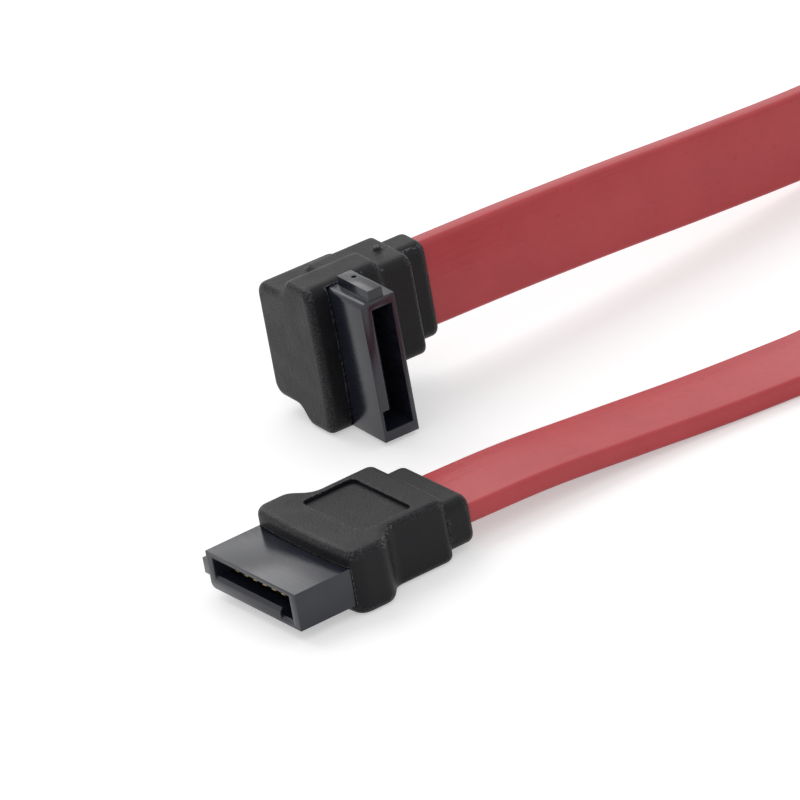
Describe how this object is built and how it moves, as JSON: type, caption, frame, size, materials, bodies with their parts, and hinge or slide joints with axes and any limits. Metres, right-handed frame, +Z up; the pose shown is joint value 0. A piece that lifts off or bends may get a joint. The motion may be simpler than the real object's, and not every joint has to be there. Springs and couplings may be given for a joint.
{
  "type": "computer data cable",
  "caption": "Flat red ribbon data cable with a straight plug on one end and a right-angle plug on the other, each with an L-shaped slot.",
  "frame": {"origin": "on the surface that the cable lies on, under the middle of the box round the two plugs", "axes": "+Z up, -Y out of the straight plug's mouth, +X towards the leg end of its L-shaped slot"},
  "size_m": [0.0637, 0.159, 0.0134],
  "materials": {
    "housing": "smooth black moulded plastic with a soft gloss",
    "overmould": "fine-grained black soft plastic, semi-matt",
    "contact": "gold-plated strip",
    "ribbon": "red flexible jacket with a soft gloss"
  },
  "bodies": {
    "root": {"straight_housing": "housing", "straight_contact_1": "contact", "straight_contact_2": "contact", "straight_contact_3": "contact", "straight_contact_4": "contact", "straight_contact_5": "contact", "straight_contact_6": "contact", "straight_contact_7": "contact", "straight_overmould": "overmould", "straight_strain_relief": "overmould", "angled_housing": "housing", "angled_contact_1": "contact", "angled_contact_2": "contact", "angled_contact_3": "contact", "angled_contact_4": "contact", "angled_contact_5": "contact", "angled_contact_6": "contact", "angled_contact_7": "contact", "angled_overmould": "overmould", "angled_strain_relief": "overmould", "ribbon": "ribbon"}
  },
  "joints": []
}
